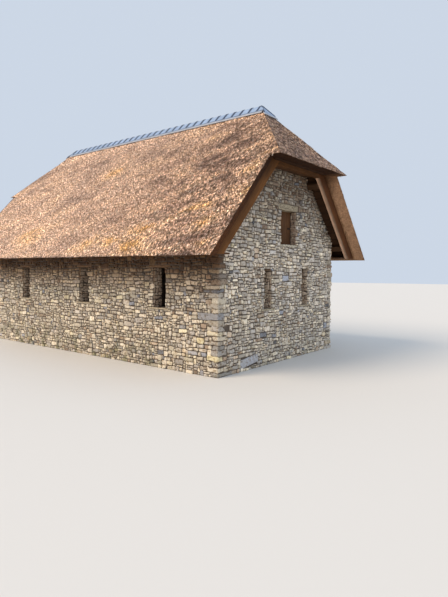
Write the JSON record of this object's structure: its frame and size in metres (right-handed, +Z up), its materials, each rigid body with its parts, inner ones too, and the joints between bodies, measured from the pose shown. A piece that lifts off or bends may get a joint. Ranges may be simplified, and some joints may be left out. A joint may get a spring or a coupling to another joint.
{
  "type": "thatched cottage",
  "caption": "Long single-room rubble-stone cottage with a steep reed-thatched roof, half-hipped gables, tiled ridge and narrow window slits.",
  "frame": {"origin": "on the ground, under the middle of the house", "axes": "+X along the ridge towards the near gable, +Y towards the back wall with the door, +Z up"},
  "size_m": [9.67, 6.374, 5.6705],
  "materials": {
    "rubble_stone": "coursed limestone rubble in pale mortar",
    "dressed_stone": "rough split pale stone slabs",
    "floor_flags": "worn stone flags",
    "reed_thatch": "dry water reed, dressed, orange brown",
    "ridge_tile": "blue-grey clay ridge tiles, matt",
    "oak": "sawn oak, oiled brown",
    "dark_oak": "weathered dark oak planks",
    "black_iron": "forged black iron"
  },
  "bodies": {
    "root": {"front_wall": "rubble_stone", "back_wall": "rubble_stone", "front_slit_lintel_1": "dressed_stone", "front_slit_lintel_2": "dressed_stone", "front_slit_lintel_3": "dressed_stone", "back_slit_lintel_1": "dressed_stone", "back_slit_lintel_2": "dressed_stone", "near_gable_wall": "rubble_stone", "near_window_lintel": "dressed_stone", "near_window_sill": "dressed_stone", "near_window_shutter": "dark_oak", "far_gable_wall": "rubble_stone", "far_window_lintel": "dressed_stone", "far_window_sill": "dressed_stone", "far_window_shutter": "dark_oak", "floor": "floor_flags", "door_lintel": "dressed_stone", "door_threshold": "dressed_stone", "door_frame": "oak", "door": "dark_oak", "door_latch": "black_iron", "front_thatch": "reed_thatch", "front_roof_boarding": "oak", "front_purlin": "oak", "front_eaves_soffit": "oak", "front_eaves_plate": "oak", "back_thatch": "reed_thatch", "back_roof_boarding": "oak", "back_purlin": "oak", "back_eaves_soffit": "oak", "back_eaves_plate": "oak", "near_hip_thatch": "reed_thatch", "near_hip_boarding": "oak", "near_hip_cap": "ridge_tile", "near_hip_board": "oak", "near_hip_soffit": "oak", "near_front_bargeboard": "oak", "near_back_bargeboard": "oak", "far_hip_thatch": "reed_thatch", "far_hip_boarding": "oak", "far_hip_cap": "ridge_tile", "far_hip_board": "oak", "far_hip_soffit": "oak", "far_front_bargeboard": "oak", "far_back_bargeboard": "oak", "ridge_cap": "ridge_tile", "ridge_beam": "oak", "truss_1": "oak", "truss_2": "oak", "truss_3": "oak"}
  },
  "joints": []
}
